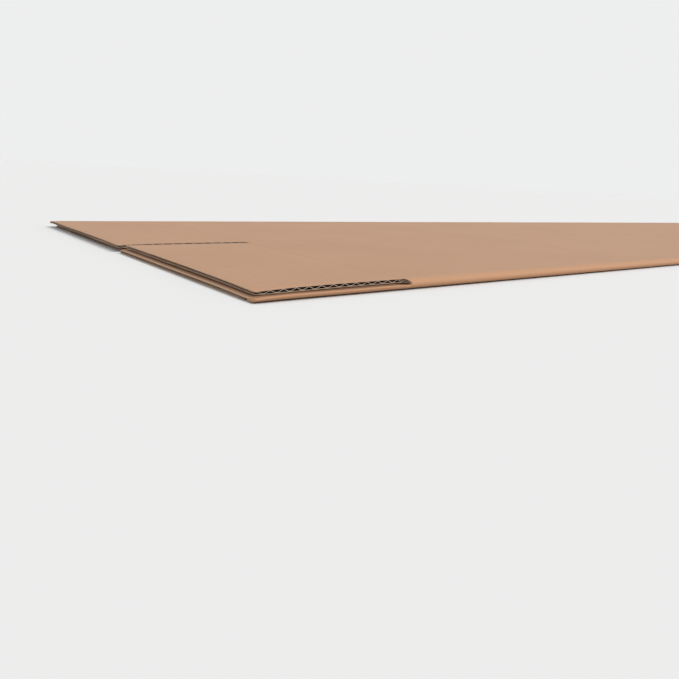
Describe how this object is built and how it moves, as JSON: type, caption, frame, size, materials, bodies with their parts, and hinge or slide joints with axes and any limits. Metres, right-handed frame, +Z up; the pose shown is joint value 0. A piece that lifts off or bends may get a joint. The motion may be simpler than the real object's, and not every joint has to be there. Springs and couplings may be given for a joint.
{
  "type": "flattened cardboard box",
  "caption": "Long slotted corrugated cardboard box folded flat: two layers of panels between two folded edges, with slotted end flaps that turn up on their score lines.",
  "frame": {"origin": "centre of the underside, where the flat box rests", "axes": "+X along the box's long side, towards its right end; +Y across it, towards the far folded edge; +Z up"},
  "size_m": [1.3866, 0.3108, 0.0044],
  "materials": {
    "kraft_board": "matte uncoated kraft liner"
  },
  "bodies": {
    "sleeve": {"folded_sleeve": "kraft_board"},
    "near_flap_left": {"near_flap_left": "kraft_board"},
    "far_flap_left": {"far_flap_left": "kraft_board"},
    "near_flap_right": {"near_flap_right": "kraft_board"},
    "far_flap_right": {"far_flap_right": "kraft_board"}
  },
  "joints": [
    {"name": "near_flap_left_fold", "type": "hinge", "parent": "sleeve", "child": "near_flap_left", "pos_m": [-0.61275, 0, 0.0046], "axis": [0, 1, 0], "range_deg": [0, 178]},
    {"name": "far_flap_left_fold", "type": "hinge", "parent": "sleeve", "child": "far_flap_left", "pos_m": [-0.61275, 0, 0.0046], "axis": [0, 1, 0], "range_deg": [0, 178]},
    {"name": "near_flap_right_fold", "type": "hinge", "parent": "sleeve", "child": "near_flap_right", "pos_m": [0.61275, 0, 0.0046], "axis": [0, -1, 0], "range_deg": [0, 178]},
    {"name": "far_flap_right_fold", "type": "hinge", "parent": "sleeve", "child": "far_flap_right", "pos_m": [0.61275, 0, 0.0046], "axis": [0, -1, 0], "range_deg": [0, 178]}
  ]
}
